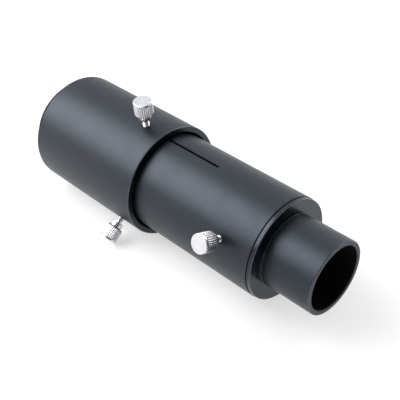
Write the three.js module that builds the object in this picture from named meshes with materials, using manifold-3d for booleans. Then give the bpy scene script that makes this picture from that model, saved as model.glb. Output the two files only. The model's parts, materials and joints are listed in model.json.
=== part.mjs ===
// Sliding barlow / projection tube with a 1.25-inch nosepiece, lying on its side.
// Millimetres, +Z up. The optical axis runs along +X, from the camera end to the nosepiece rim.
import * as THREE from "three";
import { mergeVertices } from "three/addons/utils/BufferGeometryUtils.js";
import Module from "manifold-3d";

const wasm = await Module();
wasm.setup();

// ---------- Driving dimensions ----------

// Clearances
const SEAT_GAP = 0.05; // round a piece that screws or presses into another
const RUN_GAP = 0.1; // round a piece that slides or turns in another
const TURNED_GAP = 0.3; // round a piece that stands at an angle to its neighbour
const DRAW_GAP = 0.4; // between the inner tube and the outer tube's bore
const CUT_OVERRUN = 1; // how far a cutter reaches past the metal it cuts

// Nosepiece barrel
const NOSE_RADIUS = 15.875; // 1.25-inch standard
const NOSE_LENGTH = 22.96; // from the flange to the rim
const NOSE_WALL = 2.075; // round the filter thread
const NOSE_TAIL_WALL = 1.675; // round the lens cell
const NOSE_TAIL_MARGIN = 0.9; // barrel left behind the lens cell
const NOSE_CHAMFER = 0.35;

// Nosepiece flange
const FLANGE_STEP = 0.24; // how far the flange's edge lies inside the inner tube's
const FLANGE_THICKNESS = 1.75;
const FLANGE_CHAMFER = 0.35;
const SEAM_GAP = 0.3; // the open seam between the flange and the inner tube
const SPIGOT_LENGTH = 5;
const ROOT_RIDGE_HEIGHT = 0.25; // a fine ridge on its face, round the barrel's root
const ROOT_RIDGE_WIDTH = 0.4;

// Lens cell, screwed into the nosepiece's tail
const CELL_DEPTH = 20.6; // from the rim
const CELL_WALL = 2.2;
const CELL_LIP_THICKNESS = 1;
const CELL_LIP_HEIGHT = 0.9; // how far the lip covers the lens
const RETAINING_THICKNESS = 1.6;
const FRONT_LENS_THICKNESS = 1.5; // at the centre
const FRONT_SURFACE_CURVE = 45;
const JOIN_CURVE = 40;
const REAR_LENS_THICKNESS = 3.2; // at the centre
const REAR_SURFACE_CURVE = 80;

// Eyepiece sleeve inside the inner tube
const EYEPIECE_BORE = 15.95; // takes a 31.75 mm eyepiece barrel
const SLEEVE_WALL = 4.3;
const SLEEVE_LENGTH = 24;
const SLEEVE_FRONT_GAP = 1.56; // behind the nosepiece barrel's tail
const SLEEVE_CHAMFER = 0.6;
const EYEPIECE_SCREW_SETBACK = 7.5; // from the sleeve's front end

// Inner draw tube
const INNER_LENGTH = 83.5;
const INNER_WALL = 1.94;
const INNER_CHAMFER = 0.3;
const SLIT_WIDTH = 1.2;
const SLIT_ANGLE = 3.4; // degrees from straight up, towards -Y
const SLIT_CLEARANCE = 2.2; // from the sleeve's back end to the end of the slit

// Glide ring in a groove at the inner tube's tail
const GLIDE_LENGTH = 3.4;
const GLIDE_SEAT_DEPTH = 0.8; // depth of its groove
const GLIDE_LIP = 1.2; // metal left behind the groove
const GLIDE_SPLIT = 1.5;

// Outer tube
const OUTER_LENGTH = 64.5;
const OUTER_WALL = 3.06;
const OUTER_CHAMFER = 0.4;
const MOUTH_RELIEF_WIDTH = 0.56; // how far the relieved mouth stands outside the bore
const MOUTH_RELIEF_DEPTH = 3;
const LOCK_SETBACK = 11.8; // from the mouth to the lock screws
const LOCK_HOLD = 8.5; // inner tube left behind the lock screws

// Camera thread ring
const CAMERA_THREAD_RADIUS = 21; // M42 x 0.75
const CAMERA_THREAD_LENGTH = 5.6;
const CAMERA_THREAD_WALL = 1.8;
const CAMERA_SEAT_WALL = 2.3; // outer tube left round the ring
const CAMERA_RING_DEPTH = 6; // how far it sits inside the outer tube
const THREAD_CHAMFER = 0.5;

// Thumbscrews
const HEAD_RADIUS = 4.1;
const HEAD_LENGTH = 6.5;
const HEAD_CHAMFER = 0.35;
const COLLAR_RADIUS = 2.7;
const COLLAR_LENGTH = 2.2;
const STEM_RADIUS = 1.45; // M3
const TIGHT_STEM_SHOWN = 2.5; // stem outside the outer tube on a tight lock screw
const TOP_LOCK_BACKED_OFF = 0.8; // the top lock screw stands this much further out
const EYEPIECE_STEM_SHOWN = 2.3; // stem outside the inner tube
const PAD_STEP = 0.25; // how far the pad's edge lies inside the stem's
const PAD_LENGTH = 1;

// Angles round the optical axis, from straight up towards -Y
const TOP_LOCK_ANGLE = 7.5;
const LOCK_SPACING = 120;
const EYEPIECE_LOCK_ANGLE = 70;

// Facets
const TUBE_FACETS = 72;
const SMALL_FACETS = 24;
const LENS_ARC_STEPS = 6;

// ---------- Radii, from the inside out ----------

const noseBore = NOSE_RADIUS - NOSE_WALL;
const noseTailBore = NOSE_RADIUS - NOSE_TAIL_WALL;
const cellRadius = noseTailBore - SEAT_GAP;
const lensSeat = cellRadius - CELL_WALL;
const lensRadius = lensSeat - SEAT_GAP;
const cellAperture = lensRadius - CELL_LIP_HEIGHT;
const sleeveRadius = EYEPIECE_BORE + SLEEVE_WALL;
const innerBore = sleeveRadius + SEAT_GAP;
const innerRadius = innerBore + INNER_WALL;
const glideSeat = innerRadius - GLIDE_SEAT_DEPTH;
const flangeRadius = innerRadius - FLANGE_STEP;
const outerBore = innerRadius + DRAW_GAP;
const mouthRadius = outerBore + MOUTH_RELIEF_WIDTH;
const outerRadius = outerBore + OUTER_WALL;
const cameraSeat = outerRadius - CAMERA_SEAT_WALL;
const screwHole = STEM_RADIUS + TURNED_GAP;
const padRadius = STEM_RADIUS - PAD_STEP;

// ---------- Places along the optical axis, from the camera end ----------

const rearFace = CAMERA_THREAD_LENGTH;
const mouth = rearFace + OUTER_LENGTH;
const lockPlace = mouth - LOCK_SETBACK;
const innerTail = lockPlace - LOCK_HOLD;
const glideBack = innerTail + GLIDE_LIP;
const glideFront = glideBack + GLIDE_LENGTH;
const innerFront = innerTail + INNER_LENGTH;
const flangeBack = innerFront + SEAM_GAP;
const flangeFace = flangeBack + FLANGE_THICKNESS;
const noseRim = flangeFace + NOSE_LENGTH;

// How far a round lens surface falls away from its centre at the lens's edge or nearer.
const sag = (curve, radius) => curve - Math.sqrt(curve * curve - radius * radius);

const cellFront = noseRim - CELL_DEPTH;
const lensStop = cellFront - CELL_LIP_THICKNESS;
const frontLensFront = lensStop - SEAT_GAP - sag(FRONT_SURFACE_CURVE, lensRadius);
const frontLensBack = frontLensFront - FRONT_LENS_THICKNESS;
const rearLensFront = frontLensBack - SEAT_GAP;
const rearLensBack = rearLensFront - REAR_LENS_THICKNESS;
const retainingFront = rearLensBack - sag(REAR_SURFACE_CURVE, lensRadius) - SEAT_GAP;
const cellBack = retainingFront - RETAINING_THICKNESS;

const noseTail = cellBack - NOSE_TAIL_MARGIN;
const sleeveFront = noseTail - SLEEVE_FRONT_GAP;
const sleeveBack = sleeveFront - SLEEVE_LENGTH;
const eyepieceScrewPlace = sleeveFront - EYEPIECE_SCREW_SETBACK;
const slitEnd = sleeveBack - SLIT_CLEARANCE;

// ---------- Materials ----------

const anodised = (colour) =>
  new THREE.MeshStandardMaterial({ color: colour, roughness: 0.45, metalness: 0.6 });
const glass = (colour) =>
  new THREE.MeshStandardMaterial({ color: colour, roughness: 0.05, transparent: true, opacity: 0.4 });
const BLACK_TUBE = anodised(0x34383d);
const BLACK_RING = anodised(0x26282b);
const NICKEL = new THREE.MeshStandardMaterial({ color: 0xd8d8d6, roughness: 0.2, metalness: 1 });
const ACETAL = new THREE.MeshStandardMaterial({ color: 0xe8e4da, roughness: 0.5 });
const NYLON = new THREE.MeshStandardMaterial({ color: 0xd9d2bf, roughness: 0.6 });

// ---------- Shapes ----------

// A round piece about +X from [place, radius] points, in order round its section.
function turned(points, facets = TUBE_FACETS) {
  const profile = points.map(([place, radius]) => new THREE.Vector2(radius, place));
  const halfFacet = Math.PI / facets; // sets a flat facet, not an edge, straight down
  const geometry = new THREE.LatheGeometry(profile, facets, halfFacet, 2 * Math.PI);
  return geometry.rotateZ(-Math.PI / 2);
}

// A ring about +X whose section closes on itself.
function turnedRing(points, facets = TUBE_FACETS) {
  return turned([...points, points[0]], facets);
}

function named(name, geometry, material) {
  const mesh = new THREE.Mesh(geometry, material.clone());
  mesh.name = name;
  return mesh;
}

function toSolid(geometry) {
  const bare = geometry.clone();
  bare.deleteAttribute("normal");
  bare.deleteAttribute("uv");
  const merged = mergeVertices(bare);
  return new wasm.Manifold(
    new wasm.Mesh({
      numProp: 3,
      vertProperties: new Float32Array(merged.attributes.position.array),
      triVerts: new Uint32Array(merged.index.array),
    }),
  );
}

function toGeometry(solid) {
  const mesh = solid.getMesh();
  const geometry = new THREE.BufferGeometry();
  geometry.setAttribute("position", new THREE.BufferAttribute(mesh.vertProperties, 3));
  geometry.setIndex(new THREE.BufferAttribute(mesh.triVerts, 1));
  geometry.computeVertexNormals();
  return geometry;
}

function cut(geometry, cutters) {
  const solid = cutters.reduce((left, cutter) => left.subtract(toSolid(cutter)), toSolid(geometry));
  return toGeometry(solid);
}

// A drill for a screw that stands out of the tube at an angle from straight up.
function screwDrill(place, angle, fromRadius, toRadius) {
  const drill = new THREE.CylinderGeometry(screwHole, screwHole, toRadius - fromRadius, SMALL_FACETS);
  drill.rotateX(Math.PI / 2).translate(0, 0, (fromRadius + toRadius) / 2);
  return drill.rotateX(THREE.MathUtils.degToRad(angle)).translate(place, 0, 0);
}

function eyepieceScrewDrill(insideRadius, toRadius) {
  return screwDrill(eyepieceScrewPlace, EYEPIECE_LOCK_ANGLE, insideRadius - CUT_OVERRUN, toRadius);
}

// ---------- Outer tube ----------

function outerTube() {
  const bevel = OUTER_CHAMFER;
  const ringStop = rearFace + CAMERA_RING_DEPTH + SEAT_GAP;
  const relief = mouth - MOUTH_RELIEF_DEPTH;
  const wall = turnedRing([
    [rearFace, cameraSeat],
    [rearFace, outerRadius - bevel],
    [rearFace + bevel, outerRadius],
    [mouth - bevel, outerRadius],
    [mouth, outerRadius - bevel],
    [mouth, mouthRadius],
    [relief, mouthRadius],
    [relief - MOUTH_RELIEF_WIDTH, outerBore],
    [ringStop, outerBore],
    [ringStop, cameraSeat],
  ]);
  const drills = [TOP_LOCK_ANGLE, TOP_LOCK_ANGLE + LOCK_SPACING].map((angle) =>
    screwDrill(lockPlace, angle, innerRadius, outerRadius + CUT_OVERRUN),
  );
  return named("outer_tube", cut(wall, drills), BLACK_TUBE);
}

function cameraRing() {
  const bevel = THREAD_CHAMFER;
  const cameraBore = CAMERA_THREAD_RADIUS - CAMERA_THREAD_WALL;
  const seated = cameraSeat - SEAT_GAP;
  return named("t_thread_ring", turnedRing([
    [0, cameraBore],
    [0, CAMERA_THREAD_RADIUS - bevel],
    [bevel, CAMERA_THREAD_RADIUS],
    [rearFace, CAMERA_THREAD_RADIUS],
    [rearFace, seated],
    [rearFace + CAMERA_RING_DEPTH, seated],
    [rearFace + CAMERA_RING_DEPTH, cameraBore],
  ]), BLACK_RING);
}

// ---------- Inner draw tube ----------

function innerTube() {
  const bevel = INNER_CHAMFER;
  const wall = turnedRing([
    [innerTail, innerBore],
    [innerTail, innerRadius - bevel],
    [innerTail + bevel, innerRadius],
    [glideBack, innerRadius],
    [glideBack, glideSeat],
    [glideFront, glideSeat],
    [glideFront, innerRadius],
    [innerFront, innerRadius],
    [innerFront, innerBore],
  ]);
  const slitStart = innerTail - CUT_OVERRUN;
  const slit = new THREE.BoxGeometry(slitEnd - slitStart, SLIT_WIDTH, innerRadius);
  slit.translate((slitStart + slitEnd) / 2, 0, innerRadius);
  slit.rotateX(THREE.MathUtils.degToRad(SLIT_ANGLE));
  const hole = eyepieceScrewDrill(innerBore, innerRadius + CUT_OVERRUN);
  return named("inner_tube", cut(wall, [slit, hole]), BLACK_TUBE);
}

function glideRing() {
  const inside = glideSeat + RUN_GAP;
  const outside = outerBore - RUN_GAP;
  const ring = turnedRing([
    [glideBack + RUN_GAP, inside],
    [glideBack + RUN_GAP, outside],
    [glideFront - RUN_GAP, outside],
    [glideFront - RUN_GAP, inside],
  ]);
  const split = new THREE.BoxGeometry(2 * GLIDE_LENGTH, GLIDE_SPLIT, outerRadius);
  split.translate((glideBack + glideFront) / 2, 0, -outerRadius);
  return named("draw_glide_ring", cut(ring, [split]), ACETAL);
}

function eyepieceSleeve() {
  const bevel = SLEEVE_CHAMFER;
  const sleeve = turnedRing([
    [sleeveBack, EYEPIECE_BORE + bevel],
    [sleeveBack, sleeveRadius],
    [sleeveFront, sleeveRadius],
    [sleeveFront, EYEPIECE_BORE],
    [sleeveBack + bevel, EYEPIECE_BORE],
  ]);
  const hole = eyepieceScrewDrill(EYEPIECE_BORE, innerRadius);
  return named("eyepiece_sleeve", cut(sleeve, [hole]), BLACK_RING);
}

// ---------- Nosepiece ----------

function noseFlange() {
  const bevel = FLANGE_CHAMFER;
  const spigot = innerBore - SEAT_GAP;
  const bore = NOSE_RADIUS + SEAT_GAP;
  const ridgeRadius = NOSE_RADIUS + ROOT_RIDGE_HEIGHT;
  const ridgeFront = flangeFace + ROOT_RIDGE_WIDTH;
  return named("nosepiece_flange", turnedRing([
    [flangeBack - SPIGOT_LENGTH, bore],
    [flangeBack - SPIGOT_LENGTH, spigot],
    [flangeBack, spigot],
    [flangeBack, flangeRadius],
    [flangeFace - bevel, flangeRadius],
    [flangeFace, flangeRadius - bevel],
    [flangeFace, ridgeRadius],
    [ridgeFront, ridgeRadius],
    [ridgeFront, bore],
  ]), BLACK_RING);
}

function noseBarrel() {
  const bevel = NOSE_CHAMFER;
  const cellStop = cellFront + SEAT_GAP;
  return named("nosepiece_barrel", turnedRing([
    [noseTail, noseTailBore],
    [noseTail, NOSE_RADIUS],
    [noseRim - bevel, NOSE_RADIUS],
    [noseRim, NOSE_RADIUS - bevel],
    [noseRim, noseBore + bevel],
    [noseRim - bevel, noseBore],
    [cellStop, noseBore],
    [cellStop, noseTailBore],
  ]), BLACK_TUBE);
}

// ---------- Lens cell ----------

const TOWARDS_NOSE = 1;
const TOWARDS_CAMERA = -1;

// Points over a lens surface from the axis to the edge, which lies towards the given side of its centre.
function lensSurface(centre, curve, side) {
  return Array.from({ length: LENS_ARC_STEPS + 1 }, (_, step) => {
    const radius = (lensRadius * step) / LENS_ARC_STEPS;
    return [centre + side * sag(curve, radius), radius];
  });
}

function lensCell() {
  return named("lens_cell", turnedRing([
    [cellBack, lensSeat],
    [cellBack, cellRadius],
    [cellFront, cellRadius],
    [cellFront, cellAperture],
    [lensStop, cellAperture],
    [lensStop, lensSeat],
  ]), BLACK_RING);
}

function lens(name, back, front, colour) {
  return named(name, turned([...back, ...front.reverse()], SMALL_FACETS), glass(colour));
}

function retainingRing() {
  return named("lens_retaining_ring", turnedRing([
    [cellBack, cellAperture],
    [cellBack, lensRadius],
    [retainingFront, lensRadius],
    [retainingFront, cellAperture],
  ]), BLACK_RING);
}

// ---------- Thumbscrews ----------

// A thumbscrew and the pad that it presses, standing out of the tube at an angle from straight up.
function thumbScrew(name, place, angle, padFace, collarBase) {
  const bevel = HEAD_CHAMFER;
  const tip = padFace + PAD_LENGTH + TURNED_GAP;
  const headBase = collarBase + COLLAR_LENGTH;
  const headTop = headBase + HEAD_LENGTH;
  const screw = turned([
    [tip, 0],
    [tip, STEM_RADIUS],
    [collarBase, STEM_RADIUS],
    [collarBase, COLLAR_RADIUS],
    [headBase, COLLAR_RADIUS],
    [headBase, HEAD_RADIUS - bevel],
    [headBase + bevel, HEAD_RADIUS],
    [headTop - bevel, HEAD_RADIUS],
    [headTop, HEAD_RADIUS - bevel],
    [headTop, 0],
  ], SMALL_FACETS);
  const pad = turned([
    [padFace, 0],
    [padFace, padRadius],
    [padFace + PAD_LENGTH, padRadius],
    [padFace + PAD_LENGTH, 0],
  ], SMALL_FACETS);
  const group = new THREE.Group();
  group.add(named(name + "_screw", screw.rotateY(-Math.PI / 2), NICKEL));
  group.add(named(name + "_pad", pad.rotateY(-Math.PI / 2), NYLON));
  group.position.x = place;
  group.rotation.x = THREE.MathUtils.degToRad(angle);
  return group;
}

const lockPadFace = innerRadius + TURNED_GAP;
const lockCollarBase = outerRadius + TIGHT_STEM_SHOWN;

// ---------- The assembly ----------

const assembly = new THREE.Group();
assembly.add(
  outerTube(),
  cameraRing(),
  glideRing(),
  innerTube(),
  eyepieceSleeve(),
  noseFlange(),
  noseBarrel(),
  lensCell(),
  lens(
    "front_lens",
    lensSurface(frontLensBack, JOIN_CURVE, TOWARDS_CAMERA),
    lensSurface(frontLensFront, FRONT_SURFACE_CURVE, TOWARDS_NOSE),
    0xcfe0e6,
  ),
  lens(
    "rear_lens",
    lensSurface(rearLensBack, REAR_SURFACE_CURVE, TOWARDS_CAMERA),
    lensSurface(rearLensFront, JOIN_CURVE, TOWARDS_CAMERA),
    0xd6dccb,
  ),
  retainingRing(),
  thumbScrew(
    "top_lock",
    lockPlace,
    TOP_LOCK_ANGLE,
    lockPadFace + TOP_LOCK_BACKED_OFF,
    lockCollarBase + TOP_LOCK_BACKED_OFF,
  ),
  thumbScrew("side_lock", lockPlace, TOP_LOCK_ANGLE + LOCK_SPACING, lockPadFace, lockCollarBase),
  thumbScrew(
    "eyepiece_lock",
    eyepieceScrewPlace,
    EYEPIECE_LOCK_ANGLE,
    EYEPIECE_BORE + TURNED_GAP,
    innerRadius + EYEPIECE_STEM_SHOWN,
  ),
);

// The origin is under the middle of the whole object, on the surface that it lies on.
assembly.updateMatrixWorld(true);
const extent = new THREE.Box3().setFromObject(assembly, true);
const middle = extent.getCenter(new THREE.Vector3());
assembly.position.set(-middle.x, -middle.y, -extent.min.z);

const group = new THREE.Group();
group.add(assembly);
export default group;
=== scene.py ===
"""Looks for the sliding barlow tube: fine meshes, materials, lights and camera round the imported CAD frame."""

import json
import math

import bmesh
import bpy
import numpy as np
from mathutils import Matrix, Vector


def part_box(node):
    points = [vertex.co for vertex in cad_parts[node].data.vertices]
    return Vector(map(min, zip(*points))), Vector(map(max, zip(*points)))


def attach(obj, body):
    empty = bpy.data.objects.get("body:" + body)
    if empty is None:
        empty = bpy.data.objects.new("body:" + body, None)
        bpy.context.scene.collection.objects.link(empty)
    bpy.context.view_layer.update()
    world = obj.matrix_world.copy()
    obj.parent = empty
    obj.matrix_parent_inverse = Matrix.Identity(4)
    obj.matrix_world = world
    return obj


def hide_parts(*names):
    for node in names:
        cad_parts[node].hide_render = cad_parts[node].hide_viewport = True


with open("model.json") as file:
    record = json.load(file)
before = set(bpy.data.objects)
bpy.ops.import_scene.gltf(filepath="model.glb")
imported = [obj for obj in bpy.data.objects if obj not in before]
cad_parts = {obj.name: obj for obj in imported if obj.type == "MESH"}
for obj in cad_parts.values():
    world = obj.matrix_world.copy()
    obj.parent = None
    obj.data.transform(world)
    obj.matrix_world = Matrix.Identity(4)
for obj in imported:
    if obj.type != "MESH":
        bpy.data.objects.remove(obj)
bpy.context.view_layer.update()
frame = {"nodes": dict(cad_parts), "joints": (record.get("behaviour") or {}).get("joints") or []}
MM = 0.001

# ---------- Places from the frame ----------


def span(node):
    """The lowest and highest place of a node along the optical axis."""
    low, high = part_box(node)
    return low.x, high.x


def half_height(node):
    low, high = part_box(node)
    return (high.z - low.z) / 2


outer_low, outer_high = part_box("outer_tube")
AXIS_Y = (outer_low.y + outer_high.y) / 2
AXIS_Z = (outer_low.z + outer_high.z) / 2
JOINTS = {joint["name"]: joint for joint in frame["joints"]}

OUTER_RADIUS = half_height("outer_tube")
INNER_RADIUS = half_height("inner_tube")
GLIDE_RADIUS = half_height("draw_glide_ring")
SLEEVE_RADIUS = half_height("eyepiece_sleeve")
FLANGE_RADIUS = half_height("nosepiece_flange")
NOSE_RADIUS = half_height("nosepiece_barrel")
CELL_RADIUS = half_height("lens_cell")
LENS_RADIUS = half_height("front_lens")
RETAINER_RADIUS = half_height("lens_retaining_ring")
RING_RADIUS = half_height("t_thread_ring")

# ---------- Sizes that the frame's boxes don't give ----------

SEAT_GAP = 0.05 * MM  # between pieces that seat in each other
RUN_GAP = 0.1 * MM  # between pieces that slide in each other
INNER_WALL = 1.94 * MM
SLEEVE_WALL = 4.3 * MM
MOUTH_RELIEF = 0.56 * MM
MOUTH_DEPTH = 3 * MM
REAR_PAINTED_REFLECTION = 1.3 * MM  # flat black round the outer tube's rear edge, a painted dark reflection
RING_DEPTH = 6 * MM
CAMERA_THREAD_RADIUS = 21 * MM
CAMERA_THREAD_PITCH = 0.75 * MM
CAMERA_THREAD_DEPTH = 0.42 * MM
CAMERA_BORE = 19.2 * MM
NOSE_BORE = 13.8 * MM
NOSE_TAIL_BORE = 14.2 * MM
FILTER_THREAD_PITCH = 0.6 * MM
FILTER_THREAD_DEPTH = 0.3 * MM
FILTER_THREAD_LENGTH = 4.2 * MM
ROOT_RIDGE_HEIGHT = 0.25 * MM
ROOT_RIDGE_WIDTH = 0.4 * MM
GLIDE_SEAT_RADIUS = INNER_RADIUS - 0.8 * MM
SLIT_WIDTH = 1.2 * MM
SLIT_ANGLE = math.radians(3.4)  # from straight up, towards -Y
SLIT_GAP = 2.2 * MM  # from the sleeve's back end to the end of the slit
SLIT_END_STEPS = 8
SCREW_HOLE = 1.75 * MM
GLIDE_SPLIT_ANGLE = math.radians(12)
GLIDE_SPLIT = (12 * MM, 1.2 * MM, 6 * MM)
SPANNER_SLOT = (1.6 * MM, 1.2 * MM, 3 * MM)
FRONT_CURVE = 45 * MM
MEETING_CURVE = 40 * MM  # the two lens surfaces that face each other
REAR_CURVE = 80 * MM

TUBE_SEGMENTS = 256
RING_SEGMENTS = 192
LENS_SEGMENTS = 128
SCREW_SEGMENTS = 64
STEM_SEGMENTS = 40
FILLET_STEPS = 5
LENS_STEPS = 24
THREAD_STEPS = 12  # rows of points for each turn of a thread
STEM_THREAD_STEPS = 9
ON_AXIS = 1e-9  # a radius this small is a single point on the axis

# Places in a piece's list of materials
PAINT = 1
# the lighter edge material, a painted highlight
PAINTED_HIGHLIGHT = 2
# the darker ring material on the outer tube's mouth face, painted shade
MOUTH_PAINTED_SHADE = 3

# How far a face's normal leans to the nosepiece end, from which it is an edge or a flat face
EDGE_TO_FRONT = 0.2
FLAT_TO_FRONT = 0.97

# ---------- Materials ----------


def new_material(name):
    material = bpy.data.materials.new(name)
    material.use_nodes = True
    nodes = material.node_tree.nodes
    return material, nodes, material.node_tree.links, nodes["Principled BSDF"]


def object_coordinates(nodes, links, scale=(1, 1, 1)):
    coordinates = nodes.new("ShaderNodeTexCoord")
    mapping = nodes.new("ShaderNodeMapping")
    mapping.inputs["Scale"].default_value = scale
    links.new(coordinates.outputs["Object"], mapping.inputs["Vector"])
    return mapping.outputs["Vector"]


def noise(nodes, links, vector, scale, detail=2.0):
    texture = nodes.new("ShaderNodeTexNoise")
    texture.inputs["Scale"].default_value = scale
    texture.inputs["Detail"].default_value = detail
    links.new(vector, texture.inputs["Vector"])
    return texture.outputs["Fac"]


def colour_by(nodes, links, shader, source, low, high):
    """Blends the base colour from low to high as the source rises through its middle range."""
    node = nodes.new("ShaderNodeValToRGB")
    first, last = node.color_ramp.elements
    first.position, last.position = 0.3, 0.7
    first.color, last.color = (*low, 1), (*high, 1)
    links.new(source, node.inputs["Fac"])
    links.new(node.outputs["Color"], shader.inputs["Base Color"])


def roughness_by(nodes, links, shader, source, low, high):
    node = nodes.new("ShaderNodeMapRange")
    node.inputs["To Min"].default_value = low
    node.inputs["To Max"].default_value = high
    links.new(source, node.inputs["Value"])
    links.new(node.outputs["Result"], shader.inputs["Roughness"])


def bump(nodes, links, height, strength, distance, shader, below=None):
    node = nodes.new("ShaderNodeBump")
    node.inputs["Strength"].default_value = strength
    node.inputs["Distance"].default_value = distance
    links.new(height, node.inputs["Height"])
    if below is not None:
        links.new(below, node.inputs["Normal"])
    links.new(node.outputs["Normal"], shader.inputs["Normal"])
    return node.outputs["Normal"]


def anodised(name, dark, light, roughness, specular=0.5):
    """Bead-blasted black anodised aluminium: faint dye clouds, a fine grain and very faint turning marks."""
    material, nodes, links, shader = new_material(name)
    vector = object_coordinates(nodes, links)
    clouds = noise(nodes, links, vector, 45, 3)
    colour_by(nodes, links, shader, clouds, dark, light)
    patches = noise(nodes, links, vector, 160, 4)
    roughness_by(nodes, links, shader, patches, roughness - 0.06, roughness + 0.06)
    shader.inputs["Metallic"].default_value = 0.0
    shader.inputs["Specular IOR Level"].default_value = specular
    shader.inputs["Specular Tint"].default_value = (0.75, 0.86, 1.0, 1)
    grain = noise(nodes, links, vector, 2600, 3)
    grain_normal = bump(nodes, links, grain, 0.32, 0.00004, shader)
    turned_vector = object_coordinates(nodes, links, (1, 0.02, 0.02))
    marks = noise(nodes, links, turned_vector, 3800, 1)
    bump(nodes, links, marks, 0.05, 0.00002, shader, grain_normal)
    return material


def nickel(name):
    """Bright nickel plate over turned brass, a little uneven."""
    material, nodes, links, shader = new_material(name)
    vector = object_coordinates(nodes, links)
    clouds = noise(nodes, links, vector, 380, 3)
    colour_by(nodes, links, shader, clouds, (0.66, 0.655, 0.67), (0.76, 0.755, 0.77))
    roughness_by(nodes, links, shader, clouds, 0.24, 0.34)
    shader.inputs["Metallic"].default_value = 1.0
    grain = noise(nodes, links, vector, 2600, 3)
    bump(nodes, links, grain, 0.1, 0.00002, shader)
    return material


def plastic(name, dark, light, roughness):
    """A white plastic with faint moulding marks."""
    material, nodes, links, shader = new_material(name)
    vector = object_coordinates(nodes, links)
    clouds = noise(nodes, links, vector, 200, 3)
    colour_by(nodes, links, shader, clouds, dark, light)
    shader.inputs["Roughness"].default_value = roughness
    marks = noise(nodes, links, vector, 1800, 3)
    bump(nodes, links, marks, 0.15, 0.00003, shader)
    return material


def flat_black(name):
    """Flat black anti-reflection paint with a dry grain."""
    material, nodes, links, shader = new_material(name)
    vector = object_coordinates(nodes, links)
    grain = noise(nodes, links, vector, 1400, 4)
    colour_by(nodes, links, shader, grain, (0.002, 0.002, 0.002), (0.005, 0.005, 0.005))
    shader.inputs["Roughness"].default_value = 0.85
    shader.inputs["Specular IOR Level"].default_value = 0.12
    bump(nodes, links, grain, 0.4, 0.00005, shader)
    return material


def coated_glass(name, tint, film):
    """Clear glass under a thin anti-reflection film, whose thickness is in nanometres."""
    material, nodes, links, shader = new_material(name)
    shader.inputs["Base Color"].default_value = (*tint, 1)
    shader.inputs["Transmission Weight"].default_value = 1.0
    shader.inputs["IOR"].default_value = 1.52
    shader.inputs["Thin Film Thickness"].default_value = film
    shader.inputs["Thin Film IOR"].default_value = 1.38
    vector = object_coordinates(nodes, links)
    haze = noise(nodes, links, vector, 300, 4)
    roughness_by(nodes, links, shader, haze, 0.0, 0.03)
    return material


TUBE = anodised("tube_anodised", (0.0030, 0.0038, 0.0055), (0.0044, 0.0054, 0.0075), 0.44, 0.53)
RING = anodised("ring_anodised", (0.0014, 0.0018, 0.0026), (0.0024, 0.0030, 0.0042), 0.25, 0.46)
BORE = flat_black("bore_paint")
# A lighter copy of the anodised finish for round edges facing the nosepiece end: a painted highlight.
EDGE_HIGHLIGHT = anodised("painted_edge_highlight", (0.055, 0.062, 0.076), (0.070, 0.078, 0.094), 0.30, 0.7)
NICKEL = nickel("bright_nickel")
ACETAL = plastic("acetal", (0.74, 0.72, 0.66), (0.8, 0.78, 0.73), 0.38)
NYLON = plastic("nylon", (0.66, 0.62, 0.53), (0.72, 0.69, 0.6), 0.5)
FRONT_GLASS = coated_glass("front_glass", (0.93, 0.97, 0.98), 110)
REAR_GLASS = coated_glass("rear_glass", (0.96, 0.98, 0.94), 125)

# ---------- Mesh helpers ----------

# Lays +Z along the optical axis, which runs towards +X
OPTICAL = Matrix(((0, 0, 1, 0), (0, 1, 0, AXIS_Y), (-1, 0, 0, AXIS_Z), (0, 0, 0, 1)))


def arc_corner(before, corner, after, radius):
    """Points of a round corner of the given radius between two straight stretches."""
    corner, before, after = (np.array(p[:2], float) for p in (corner, before, after))
    inward, outward = before - corner, after - corner
    length_in, length_out = np.linalg.norm(inward), np.linalg.norm(outward)
    inward, outward = inward / length_in, outward / length_out
    turn = math.acos(max(-1, min(1, float(inward @ outward))))
    if turn > math.pi - 0.02:
        return [tuple(corner)]
    reach = min(radius / math.tan(turn / 2), 0.48 * length_in, 0.48 * length_out)
    radius = reach * math.tan(turn / 2)
    middle = inward + outward
    centre = corner + middle / np.linalg.norm(middle) * radius / math.sin(turn / 2)
    start, end = corner + inward * reach - centre, corner + outward * reach - centre
    sweep = math.pi - turn
    points = []
    for step in range(FILLET_STEPS + 1):
        t = step / FILLET_STEPS
        mix = (math.sin((1 - t) * sweep) * start + math.sin(t * sweep) * end) / math.sin(sweep)
        points.append(tuple(centre + mix))
    return points


def rounded(points, closed=True):
    """A section whose corners with a third value are rounded by that radius."""
    section = []
    for i, point in enumerate(points):
        if len(point) > 2 and point[2] and (closed or 0 < i < len(points) - 1):
            section += arc_corner(points[i - 1], point, points[(i + 1) % len(points)], point[2])
        else:
            section.append(tuple(point[:2]))
    return section


def add_object(name, mesh, matrix=None):
    if matrix is not None:
        mesh.transform(matrix)
    piece = bpy.data.objects.new(name, mesh)
    bpy.context.scene.collection.objects.link(piece)
    return piece


def skin(name, vertices, rings, segments, closed):
    """A mesh with faces from each ring of points to the next, and from the last to the first if closed."""
    faces = []
    for lower, upper in zip(rings, rings[1:] + (rings[:1] if closed else [])):
        for k in range(segments):
            n = (k + 1) % segments
            face = list(dict.fromkeys((lower[k], lower[n], upper[n], upper[k])))
            if len(face) > 2:
                faces.append(face)
    mesh = bpy.data.meshes.new(name)
    mesh.from_pydata(vertices, [], faces)
    return mesh


def revolved_mesh(name, section, segments, closed=True):
    """A mesh turned about +Z from (height, radius) points."""
    vertices, rings = [], []
    for height, radius in section:
        if radius <= ON_AXIS:
            rings.append([len(vertices)] * segments)
            vertices.append((0, 0, height))
            continue
        start = len(vertices)
        for k in range(segments):
            angle = 2 * math.pi * k / segments
            vertices.append((radius * math.cos(angle), radius * math.sin(angle), height))
        rings.append(list(range(start, start + segments)))
    return skin(name, vertices, rings, segments, closed)


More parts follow.
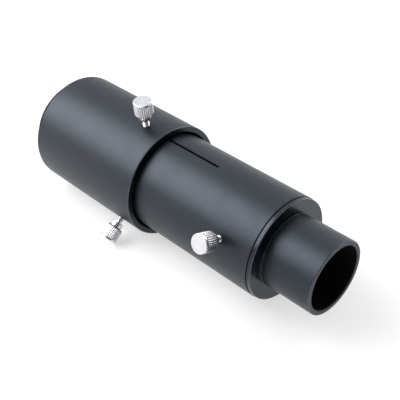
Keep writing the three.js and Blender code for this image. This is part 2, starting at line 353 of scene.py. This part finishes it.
def grid_surface(name, heights, radius_at, segments, lower, upper):
    """A round surface about +Z of radius radius_at(height, angle), with plain rings below and above."""
    angles = np.arange(segments) * 2 * math.pi / segments
    vertices, rings = [], []

    def ring(height, radii):
        if np.max(radii) <= ON_AXIS:
            rings.append([len(vertices)] * segments)
            vertices.append((0, 0, height))
            return
        rings.append(list(range(len(vertices), len(vertices) + segments)))
        for angle, radius in zip(angles, np.broadcast_to(radii, segments)):
            vertices.append((radius * math.cos(angle), radius * math.sin(angle), height))

    for height, radius in lower:
        ring(height, radius)
    for height in heights:
        ring(height, np.array([radius_at(height, angle) for angle in angles]))
    for height, radius in upper:
        ring(height, radius)
    return skin(name, vertices, rings, segments, closed=lower[0][1] > ON_AXIS)


def outward(mesh):
    """Turns every face to look out of the solid."""
    work = bmesh.new()
    work.from_mesh(mesh)
    bmesh.ops.recalc_face_normals(work, faces=work.faces)
    if work.calc_volume(signed=True) < 0:
        bmesh.ops.reverse_faces(work, faces=work.faces)
    work.to_mesh(mesh)
    work.free()


def shade(piece, angle):
    """Smooth shading that keeps the corners, with large faces leading at each one."""
    mesh = piece.data
    for polygon in mesh.polygons:
        polygon.use_smooth = True
    mesh.set_sharp_from_angle(angle=math.radians(angle))
    weighted = piece.modifiers.new("weighted", "WEIGHTED_NORMAL")
    weighted.keep_sharp = True
    apply_modifiers(piece)


def apply_modifiers(piece):
    bpy.context.view_layer.update()
    evaluated = piece.evaluated_get(bpy.context.evaluated_depsgraph_get())
    mesh = bpy.data.meshes.new_from_object(evaluated)
    piece.modifiers.clear()
    old = piece.data
    piece.data = mesh
    bpy.data.meshes.remove(old)


def box_cutter(name, place, size):
    cutter = bmesh.new()
    bmesh.ops.create_cube(cutter, size=1)
    cutter.transform(place @ Matrix.Diagonal((*size, 1)))
    mesh = bpy.data.meshes.new(name)
    cutter.to_mesh(mesh)
    cutter.free()
    return add_object(name, mesh)


def cut_out(piece, cutters):
    for cutter in cutters:
        boolean = piece.modifiers.new("cut", "BOOLEAN")
        boolean.operation = "DIFFERENCE"
        boolean.solver = "EXACT"
        boolean.object = cutter
    apply_modifiers(piece)
    for cutter in cutters:
        bpy.data.objects.remove(cutter)


def finish_piece(piece, body, nodes, material, angle=28):
    """Shades a piece, gives it its materials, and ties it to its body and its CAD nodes."""
    outward(piece.data)
    shade(piece, angle)
    piece.data.materials.clear()
    for entry in material if isinstance(material, list) else [material]:
        piece.data.materials.append(entry)
    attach(piece, body)
    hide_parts(*nodes)


def from_axis(point):
    return math.hypot(point.y - AXIS_Y, point.z - AXIS_Z)


def paint_bore(piece, radius, high=math.inf):
    """Paints the faces that look inwards, within a radius of the optical axis and behind high."""
    for polygon in piece.data.polygons:
        centre = polygon.center
        inward = (AXIS_Y - centre.y) * polygon.normal.y + (AXIS_Z - centre.z) * polygon.normal.z
        if from_axis(centre) < radius and inward > 0 and centre.x < high:
            polygon.material_index = PAINT


def paint_mouth_shade(piece, radius):
    """Gives the flat faces that look towards the nosepiece end, outside a radius, their own material: on the
    outer tube a darker one, as painted shade in the mouth's recess.
    """
    for polygon in piece.data.polygons:
        if from_axis(polygon.center) > radius and polygon.normal.x >= FLAT_TO_FRONT:
            polygon.material_index = MOUTH_PAINTED_SHADE


def paint_edge_highlights(piece, radius):
    """Gives the unpainted round edges that face the nosepiece end, outside a radius, a lighter material as a
    painted highlight.
    """
    for polygon in piece.data.polygons:
        on_edge = EDGE_TO_FRONT < polygon.normal.x < FLAT_TO_FRONT
        if from_axis(polygon.center) > radius and on_edge and polygon.material_index != PAINT:
            polygon.material_index = PAINTED_HIGHLIGHT


def turned_piece(name, points, segments=TUBE_SEGMENTS):
    """A ring turned about the optical axis from (place, radius, corner radius) points."""
    return add_object(name, revolved_mesh(name, rounded(points), segments), OPTICAL)


def radial_frame(joint_name):
    """A matrix whose +Z stands out of the tube along a thumbscrew, from the optical axis."""
    joint = JOINTS[joint_name]
    axis = Vector(joint["axis"]).normalized()
    side = Vector((1, 0, 0))
    turn = Matrix((side, axis.cross(side), axis)).transposed().to_4x4()
    return Matrix.Translation(Vector(joint["pos_m"])) @ turn


def drill(matrix, low, high, radius, flare=0.0):
    """A cutter for a screw hole, with a small countersink at its outer end."""
    section = [(low, 0), (low, radius), (high - flare, radius), (high + flare, radius + 2 * flare)]
    section += [(high + 5 * MM, radius + 2 * flare), (high + 5 * MM, 0)]
    mesh = revolved_mesh("drill", section, SCREW_SEGMENTS, closed=False)
    outward(mesh)
    return add_object("drill", mesh, matrix)


def thread_radius(major, depth, pitch, height, angle, start, end):
    """A V thread's radius, which fades out over a turn at each end."""
    phase = (height - pitch * angle / (2 * math.pi)) / pitch
    wave = abs(2 * (phase - math.floor(phase)) - 1)
    flat = min(1.0, max(0.0, (wave - 0.12) / 0.76))
    fade = min(1.0, max(0.0, (height - start) / pitch), max(0.0, (end - height) / pitch))
    return major - depth * (1 - flat) * fade


# ---------- Outer tube ----------


def build_outer_tube():
    rear, mouth = span("outer_tube")
    bore = GLIDE_RADIUS + RUN_GAP
    seat = RING_RADIUS + SEAT_GAP
    stop = rear + RING_DEPTH + SEAT_GAP
    relief = mouth - MOUTH_DEPTH
    tube = turned_piece("outer_tube_shell", [
        (rear, seat, 0.1 * MM),
        (rear, OUTER_RADIUS, 0.9 * MM),
        (mouth, OUTER_RADIUS, 0.45 * MM),
        (mouth, bore + MOUTH_RELIEF, 0.3 * MM),
        (relief, bore + MOUTH_RELIEF, 0.15 * MM),
        (relief - MOUTH_RELIEF, bore),
        (stop, bore),
        (stop, seat),
    ])
    outward(tube.data)
    cutters = [
        drill(radial_frame(name), INNER_RADIUS, OUTER_RADIUS, SCREW_HOLE, 0.2 * MM)
        for name in ("top_lock_turn", "side_lock_turn")
    ]
    cut_out(tube, cutters)
    # the ring material here serves only as painted shade on the mouth's front face
    finish_piece(tube, "outer_body", ["outer_tube"], [TUBE, BORE, EDGE_HIGHLIGHT, RING])
    paint_bore(tube, bore + 0.1 * MM)
    # painted highlight on the round edges facing the nosepiece end
    paint_edge_highlights(tube, OUTER_RADIUS - 0.5 * MM)
    # painted shade: the mouth's front face gets the darker ring material
    paint_mouth_shade(tube, bore)
    # Painted dark reflection: the faces within the rear band are given the flat black.
    for polygon in tube.data.polygons:
        if polygon.center.x < rear + REAR_PAINTED_REFLECTION:
            polygon.material_index = PAINT


def build_camera_ring():
    low, high = span("t_thread_ring")
    shoulder = span("outer_tube")[0]
    thread_low, thread_high = low + 0.3 * MM, shoulder - 0.6 * MM
    rows = int((thread_high - thread_low) / CAMERA_THREAD_PITCH * THREAD_STEPS)
    heights = np.linspace(thread_low, thread_high, rows)

    def radius_at(height, angle):
        return thread_radius(
            CAMERA_THREAD_RADIUS, CAMERA_THREAD_DEPTH, CAMERA_THREAD_PITCH,
            height, angle, thread_low, thread_high,
        )

    undercut = CAMERA_THREAD_RADIUS - 0.45 * MM
    lower = [
        (low + 0.15 * MM, CAMERA_BORE),
        (low, CAMERA_BORE + 0.15 * MM),
        (low, CAMERA_THREAD_RADIUS - 0.55 * MM),
        (low + 0.1 * MM, CAMERA_THREAD_RADIUS - 0.4 * MM),
    ]
    upper = [
        (shoulder - 0.5 * MM, undercut),
        (shoulder - 0.1 * MM, undercut),
        (shoulder, undercut + 0.1 * MM),
        (shoulder, RING_RADIUS - 0.15 * MM),
        (shoulder + 0.15 * MM, RING_RADIUS),
        (high, RING_RADIUS),
        (high, CAMERA_BORE + 0.2 * MM),
        (high - 0.2 * MM, CAMERA_BORE),
    ]
    mesh = grid_surface("camera_ring", heights, radius_at, RING_SEGMENTS, lower, upper)
    ring = add_object("camera_thread_ring", mesh, OPTICAL)
    finish_piece(ring, "outer_body", ["t_thread_ring"], [RING, BORE], 40)
    paint_bore(ring, CAMERA_BORE + 0.1 * MM)


# ---------- Draw tube ----------


def slit_cutter(tail, bore):
    """A cutter for the slit: open at the tube's tail, round at its other end."""
    slit = bmesh.new()
    half = SLIT_WIDTH / 2
    outline = [(tail - MM, -half), (tail - MM, half)]
    round_centre = span("eyepiece_sleeve")[0] - SLIT_GAP - half
    for step in range(SLIT_END_STEPS + 1):
        angle = math.pi / 2 - math.pi * step / SLIT_END_STEPS
        outline.append((round_centre + half * math.cos(angle), half * math.sin(angle)))
    low_z, high_z = AXIS_Z + bore - 2 * MM, AXIS_Z + INNER_RADIUS + 2 * MM
    bottom = [slit.verts.new((x, AXIS_Y + y, low_z)) for x, y in outline]
    top = [slit.verts.new((x, AXIS_Y + y, high_z)) for x, y in outline]
    slit.faces.new(bottom)
    slit.faces.new(reversed(top))
    for k in range(len(outline)):
        n = (k + 1) % len(outline)
        slit.faces.new((bottom[k], top[k], top[n], bottom[n]))
    centre = Matrix.Translation((0, AXIS_Y, AXIS_Z))
    slit.transform(centre @ Matrix.Rotation(SLIT_ANGLE, 4, "X") @ centre.inverted())
    mesh = bpy.data.meshes.new("slit")
    slit.to_mesh(mesh)
    slit.free()
    outward(mesh)
    return add_object("slit", mesh)


def build_inner_tube():
    tail, front = span("inner_tube")
    glide_low, glide_high = span("draw_glide_ring")
    bore = INNER_RADIUS - INNER_WALL
    tube = turned_piece("inner_tube_shell", [
        (tail, bore, 0.15 * MM),
        (tail, INNER_RADIUS, 0.35 * MM),
        (glide_low - RUN_GAP, INNER_RADIUS, 0.1 * MM),
        (glide_low - RUN_GAP, GLIDE_SEAT_RADIUS),
        (glide_high + RUN_GAP, GLIDE_SEAT_RADIUS),
        (glide_high + RUN_GAP, INNER_RADIUS, 0.1 * MM),
        (front, INNER_RADIUS, 0.12 * MM),
        (front, bore, 0.1 * MM),
    ])
    outward(tube.data)
    cutters = [
        slit_cutter(tail, bore),
        drill(radial_frame("eyepiece_lock_turn"), bore - MM, INNER_RADIUS, SCREW_HOLE, 0.15 * MM),
    ]
    cut_out(tube, cutters)
    finish_piece(tube, "draw_body", ["inner_tube"], [TUBE, BORE])
    paint_bore(tube, bore + 0.1 * MM)


def build_glide_ring():
    low, high = span("draw_glide_ring")
    inside = GLIDE_SEAT_RADIUS + RUN_GAP
    ring = turned_piece("glide_ring", [
        (low, inside, 0.1 * MM),
        (low, GLIDE_RADIUS, 0.2 * MM),
        (high, GLIDE_RADIUS, 0.2 * MM),
        (high, inside, 0.1 * MM),
    ], RING_SEGMENTS)
    outward(ring.data)
    slant = Matrix.Rotation(GLIDE_SPLIT_ANGLE, 4, "Z")
    place = Matrix.Translation(((low + high) / 2, AXIS_Y, AXIS_Z - INNER_RADIUS))
    cut_out(ring, [box_cutter("split", place @ slant, GLIDE_SPLIT)])
    finish_piece(ring, "glide_body", ["draw_glide_ring"], ACETAL)


def build_sleeve():
    back, front = span("eyepiece_sleeve")
    bore = SLEEVE_RADIUS - SLEEVE_WALL
    sleeve = turned_piece("eyepiece_sleeve_bush", [
        (back, bore + 0.6 * MM),
        (back, SLEEVE_RADIUS, 0.3 * MM),
        (front, SLEEVE_RADIUS, 0.3 * MM),
        (front, bore, 0.2 * MM),
        (back + 0.6 * MM, bore),
    ])
    outward(sleeve.data)
    cut_out(sleeve, [drill(radial_frame("eyepiece_lock_turn"), bore - MM, INNER_RADIUS, SCREW_HOLE)])
    finish_piece(sleeve, "draw_body", ["eyepiece_sleeve"], RING)


# ---------- Nosepiece ----------


def build_flange():
    low, ridge_front = span("nosepiece_flange")
    face = ridge_front - ROOT_RIDGE_WIDTH
    ridge = NOSE_RADIUS + ROOT_RIDGE_HEIGHT
    back = span("inner_tube")[1] + 0.3 * MM
    spigot = SLEEVE_RADIUS
    bore = NOSE_RADIUS + SEAT_GAP
    flange = turned_piece("nose_flange", [
        (low, bore, 0.1 * MM),
        (low, spigot, 0.3 * MM),
        (back, spigot),
        (back, FLANGE_RADIUS, 0.12 * MM),
        (face, FLANGE_RADIUS, 0.32 * MM),
        (face, ridge, 0.06 * MM),
        (ridge_front, ridge, 0.12 * MM),
        (ridge_front, bore, 0.04 * MM),
    ])
    finish_piece(flange, "draw_body", ["nosepiece_flange"], [RING, BORE, EDGE_HIGHLIGHT])
    # painted highlight on the flange's front edges
    paint_edge_highlights(flange, NOSE_RADIUS)


def build_nose_barrel():
    tail, rim = span("nosepiece_barrel")
    cell_stop = span("lens_cell")[1] + SEAT_GAP
    thread_high = rim - 0.9 * MM
    thread_low = thread_high - FILTER_THREAD_LENGTH
    rows = int(FILTER_THREAD_LENGTH / FILTER_THREAD_PITCH * THREAD_STEPS)

    def radius_at(height, angle):
        # an inside thread is an outside one mirrored at the bore's radius
        return 2 * NOSE_BORE - thread_radius(
            NOSE_BORE, FILTER_THREAD_DEPTH, FILTER_THREAD_PITCH, height, angle, thread_low, thread_high
        )

    outer = rounded([
        (tail, NOSE_TAIL_BORE, 0.1 * MM),
        (tail, NOSE_RADIUS, 0.3 * MM),
        (rim, NOSE_RADIUS, 0.42 * MM),
        (rim, NOSE_BORE, 0.4 * MM),
        (thread_high, NOSE_BORE),
    ], closed=False)
    inner = [(cell_stop, NOSE_BORE), (cell_stop, NOSE_TAIL_BORE)]
    heights = np.linspace(thread_high - 0.02 * MM, thread_low, rows)
    mesh = grid_surface("nose_barrel", heights, radius_at, TUBE_SEGMENTS, outer, inner)
    barrel = add_object("nose_barrel", mesh, OPTICAL)
    finish_piece(barrel, "draw_body", ["nosepiece_barrel"], [TUBE, BORE, EDGE_HIGHLIGHT], 34)
    paint_bore(barrel, NOSE_TAIL_BORE + 0.4 * MM, high=rim - 0.5 * MM)
    # painted highlight on the barrel's front edges
    paint_edge_highlights(barrel, NOSE_RADIUS - 0.5 * MM)


# ---------- Lens cell ----------


def build_lens_cell():
    back, front = span("lens_cell")
    seat = LENS_RADIUS + SEAT_GAP
    aperture = LENS_RADIUS - 0.9 * MM
    stop = front - MM
    cell = turned_piece("lens_cell_ring", [
        (back, seat, 0.15 * MM),
        (back, CELL_RADIUS, 0.25 * MM),
        (front, CELL_RADIUS, 0.25 * MM),
        (front, aperture, 0.1 * MM),
        (stop, aperture, 0.05 * MM),
        (stop, seat),
    ], RING_SEGMENTS)
    finish_piece(cell, "draw_body", ["lens_cell"], BORE)
    low, high = span("lens_retaining_ring")
    ring = turned_piece("retaining_ring", [
        (low, aperture, 0.25 * MM),
        (low, RETAINER_RADIUS, 0.15 * MM),
        (high, RETAINER_RADIUS, 0.1 * MM),
        (high, aperture, 0.1 * MM),
    ], RING_SEGMENTS)
    outward(ring.data)
    slots = []
    for side in (-1, 1):
        place = Matrix.Translation((low, AXIS_Y, AXIS_Z + side * (aperture + RETAINER_RADIUS) / 2))
        slots.append(box_cutter("spanner_slot", place, SPANNER_SLOT))
    cut_out(ring, slots)
    finish_piece(ring, "draw_body", ["lens_retaining_ring"], RING)


def sag(curve, radius):
    """How deep a spherical surface of radius curve is at a distance from its centre."""
    return curve - math.sqrt(curve * curve - radius * radius)


def build_lens(name, node, material, back_curve, front_curve, front_side):
    """A lens whose back bulges forward; front_side is the way its front edge leaves the front's centre."""
    low, high = span(node)
    front_centre = high - (sag(front_curve, LENS_RADIUS) if front_side > 0 else 0)
    back_centre = low + sag(back_curve, LENS_RADIUS)
    radii = [LENS_RADIUS * k / LENS_STEPS for k in range(LENS_STEPS)]
    back = [(back_centre - sag(back_curve, radius), radius) for radius in radii]
    front = [(front_centre + front_side * sag(front_curve, radius), radius) for radius in radii]
    bevel = 0.12 * MM
    front_edge = front_centre + front_side * sag(front_curve, LENS_RADIUS)
    section = back + [(low, LENS_RADIUS - bevel), (low + bevel, LENS_RADIUS)]
    section += [(front_edge - bevel, LENS_RADIUS), (front_edge, LENS_RADIUS - bevel)] + front[::-1]
    mesh = revolved_mesh(name, section, LENS_SEGMENTS, closed=False)
    lens = add_object(name, mesh, OPTICAL)
    finish_piece(lens, "draw_body", [node], material, 20)


# ---------- Thumbscrews ----------

HEAD_RADIUS = 4.06 * MM  # a little under the CAD head's, to stay inside its flat facets
HEAD_LENGTH = 6.5 * MM
CAP_LENGTH = 0.95 * MM
COLLAR_RADIUS = 2.7 * MM
COLLAR_LENGTH = 2.2 * MM
STEM_RADIUS = 1.45 * MM
STEM_PITCH = 0.5 * MM
STEM_THREAD_DEPTH = 0.27 * MM
KNURL_TEETH = 28
KNURL_STEPS = 12  # points round each rib
KNURL_ROWS = 12
KNURL_DEPTH = 0.42 * MM
KNURL_SHARPNESS = 0.7


def heights_along(node, joint_name):
    """A node's lowest and highest distance from the optical axis along a thumbscrew's own axis."""
    inverse = radial_frame(joint_name).inverted()
    heights = [(inverse @ vertex.co).z for vertex in frame["nodes"][node].data.vertices]
    return min(heights), max(heights)


def knurl_radius(angle):
    """Straight knurling: rounded ribs along the screw, with sharp grooves between them."""
    crest = abs(math.cos(KNURL_TEETH * angle / 2))
    return HEAD_RADIUS - KNURL_DEPTH * (1 - crest ** KNURL_SHARPNESS)


def build_head(name, joint_name, body, node):
    tip, top = heights_along(node, joint_name)
    base = top - HEAD_LENGTH
    collar = base - COLLAR_LENGTH
    cap = top - CAP_LENGTH
    groove = HEAD_RADIUS - 0.32 * MM
    knurl_low, knurl_high = base + 0.45 * MM, cap - 0.28 * MM
    heights = np.linspace(knurl_low, knurl_high, KNURL_ROWS)
    below = rounded([
        (collar + 0.3 * MM, 0),
        (collar + 0.3 * MM, STEM_RADIUS - 0.1 * MM),
        (collar, STEM_RADIUS - 0.1 * MM),
        (collar, COLLAR_RADIUS, 0.25 * MM),
        (base - 0.25 * MM, COLLAR_RADIUS, 0.1 * MM),
        (base - 0.25 * MM, COLLAR_RADIUS - 0.25 * MM, 0.1 * MM),
        (base, COLLAR_RADIUS - 0.25 * MM, 0.1 * MM),
        (base, HEAD_RADIUS - 0.55 * MM, 0.08 * MM),
        (base + 0.4 * MM, HEAD_RADIUS - 0.2 * MM),
    ], closed=False)
    above = rounded([
        (heights[-1] + 0.05 * MM, HEAD_RADIUS - 0.2 * MM),
        (cap - 0.2 * MM, groove, 0.05 * MM),
        (cap, groove, 0.05 * MM),
        (cap, HEAD_RADIUS, 0.12 * MM),
        (top - 0.1 * MM, HEAD_RADIUS, 0.25 * MM),
        (top, HEAD_RADIUS - 0.45 * MM, 0.2 * MM),
        (top - 0.02 * MM, 0.3 * MM),
        (top - 0.02 * MM, 0),
    ], closed=False)

    def radius_at(height, angle):
        return knurl_radius(angle)

    mesh = grid_surface(name, heights, radius_at, KNURL_TEETH * KNURL_STEPS, below, above)
    head = add_object(name + "_head", mesh, radial_frame(joint_name))
    finish_piece(head, body, [node], NICKEL, 24)
    build_stem(name, joint_name, body, tip, collar + 0.35 * MM)


def build_stem(name, joint_name, body, tip, top):
    thread_high = top - 1.5 * MM
    rows = int((thread_high - tip) / STEM_PITCH * STEM_THREAD_STEPS)
    heights = np.linspace(tip + 0.25 * MM, thread_high, rows)
    root = STEM_RADIUS - STEM_THREAD_DEPTH

    def radius_at(height, angle):
        return thread_radius(STEM_RADIUS, STEM_THREAD_DEPTH, STEM_PITCH, height, angle, tip, thread_high)

    below = [(tip, 0), (tip, root - 0.1 * MM), (tip + 0.2 * MM, STEM_RADIUS - 0.12 * MM)]
    above = [
        (thread_high + 0.05 * MM, root),
        (thread_high + 0.4 * MM, root),
        (thread_high + 0.5 * MM, STEM_RADIUS - 0.05 * MM),
        (top, STEM_RADIUS - 0.05 * MM),
        (top, 0),
    ]
    mesh = grid_surface(name, heights, radius_at, STEM_SEGMENTS, below, above)
    stem = add_object(name + "_stem", mesh, radial_frame(joint_name))
    finish_piece(stem, body, [], NICKEL, 40)


def build_pad(name, joint_name, body, node):
    low, high = heights_along(node, joint_name)
    radius = STEM_RADIUS - 0.25 * MM
    section = rounded([
        (low, 0),
        (low, radius, 0.25 * MM),
        (high - 0.3 * MM, radius, 0.1 * MM),
        (high, radius - 0.3 * MM, 0.1 * MM),
        (high, 0),
    ], closed=False)
    mesh = revolved_mesh(name, section, SCREW_SEGMENTS, closed=False)
    pad = add_object(name, mesh, radial_frame(joint_name))
    finish_piece(pad, body, [node], NYLON)


# ---------- Build ----------

build_outer_tube()
build_camera_ring()
build_inner_tube()
build_glide_ring()
build_sleeve()
build_flange()
build_nose_barrel()
build_lens_cell()
build_lens("front_element", "front_lens", FRONT_GLASS, MEETING_CURVE, FRONT_CURVE, 1)
build_lens("rear_element", "rear_lens", REAR_GLASS, REAR_CURVE, MEETING_CURVE, -1)
for lock in ("top", "side", "eyepiece"):
    build_head(lock + "_thumbscrew", lock + "_lock_turn", lock + "_screw_body", lock + "_lock_screw")
    build_pad(lock + "_pressure_pad", lock + "_lock_turn", lock + "_pad_body", lock + "_lock_pad")

# ---------- Stage ----------

AZIMUTH = math.radians(45)
ELEVATION = math.radians(36.93)
TARGET_OFFSET = Vector((0.1116, -0.1827, 0.19305))


def build_floor():
    bpy.ops.mesh.primitive_plane_add(size=60, location=(0, 0, 0))
    floor = bpy.context.object
    floor.name = "floor"
    material, nodes, links, shader = new_material("pale_floor")
    vector = object_coordinates(nodes, links)
    mottle = noise(nodes, links, vector, 6, 2)
    colour_by(nodes, links, shader, mottle, (0.42, 0.42, 0.42), (0.44, 0.44, 0.44))
    shader.inputs["Roughness"].default_value = 0.9
    shader.inputs["Specular IOR Level"].default_value = 0.1
    shader.inputs["Emission Color"].default_value = (1, 1, 1, 1)
    shader.inputs["Emission Strength"].default_value = 0.56
    floor.data.materials.append(material)


def area_light(name, direction, distance, size, power):
    """A square light that looks at the middle of the object from a direction."""
    light = bpy.data.lights.new(name, "AREA")
    light.energy = power
    light.shape = "RECTANGLE"
    light.size = light.size_y = size
    lamp = bpy.data.objects.new(name, light)
    bpy.context.scene.collection.objects.link(lamp)
    centre = Vector((0, AXIS_Y, AXIS_Z))
    towards = Vector(direction).normalized()
    lamp.location = centre + towards * distance
    lamp.rotation_euler = towards.to_track_quat("Z", "Y").to_euler()


def build_lights():
    """Light from around that fades towards +X, with a plain white backdrop, and three area lights."""
    world = bpy.data.worlds.new("studio")
    bpy.context.scene.world = world
    world.use_nodes = True
    nodes, links = world.node_tree.nodes, world.node_tree.links
    background = nodes["Background"]
    background.inputs["Color"].default_value = (0.93, 0.96, 1.0, 1)
    direction = nodes.new("ShaderNodeTexCoord")
    parts = nodes.new("ShaderNodeSeparateXYZ")
    links.new(direction.outputs["Generated"], parts.inputs["Vector"])
    fade = nodes.new("ShaderNodeMapRange")
    fade.interpolation_type = "SMOOTHSTEP"
    fade.inputs["From Min"].default_value = -0.45
    fade.inputs["From Max"].default_value = 0.35
    fade.inputs["To Min"].default_value = 0.95
    fade.inputs["To Max"].default_value = 0.12
    links.new(parts.outputs["X"], fade.inputs["Value"])
    links.new(fade.outputs["Result"], background.inputs["Strength"])
    backdrop = nodes.new("ShaderNodeBackground")
    backdrop.inputs["Color"].default_value = (1, 1, 1, 1)
    seen = nodes.new("ShaderNodeLightPath")
    choice = nodes.new("ShaderNodeMixShader")
    links.new(seen.outputs["Is Camera Ray"], choice.inputs["Fac"])
    links.new(background.outputs["Background"], choice.inputs[1])
    links.new(backdrop.outputs["Background"], choice.inputs[2])
    links.new(choice.outputs["Shader"], nodes["World Output"].inputs["Surface"])
    area_light("key", (-0.57, -0.47, 0.68), 0.8, 0.72, 8.5)
    area_light("top_rim", (0.1, 0.9, 0.6), 0.9, 0.5, 3)
    area_light("floor_wash", (0, 0, 1), 1.6, 2.8, 9)


def build_camera():
    rim = span("nosepiece_barrel")[1]
    camera_data = bpy.data.cameras.new("camera")
    camera_data.sensor_width = 36
    camera_data.lens = 68.26
    camera_data.clip_start = 0.01
    camera = bpy.data.objects.new("camera", camera_data)
    bpy.context.scene.collection.objects.link(camera)
    camera.location = Vector((rim, AXIS_Y, AXIS_Z)) + TARGET_OFFSET
    camera.rotation_euler = (math.pi / 2 - ELEVATION, 0, AZIMUTH)
    bpy.context.scene.camera = camera


build_floor()
build_lights()
build_camera()
bpy.context.scene.view_settings.view_transform = "Standard"
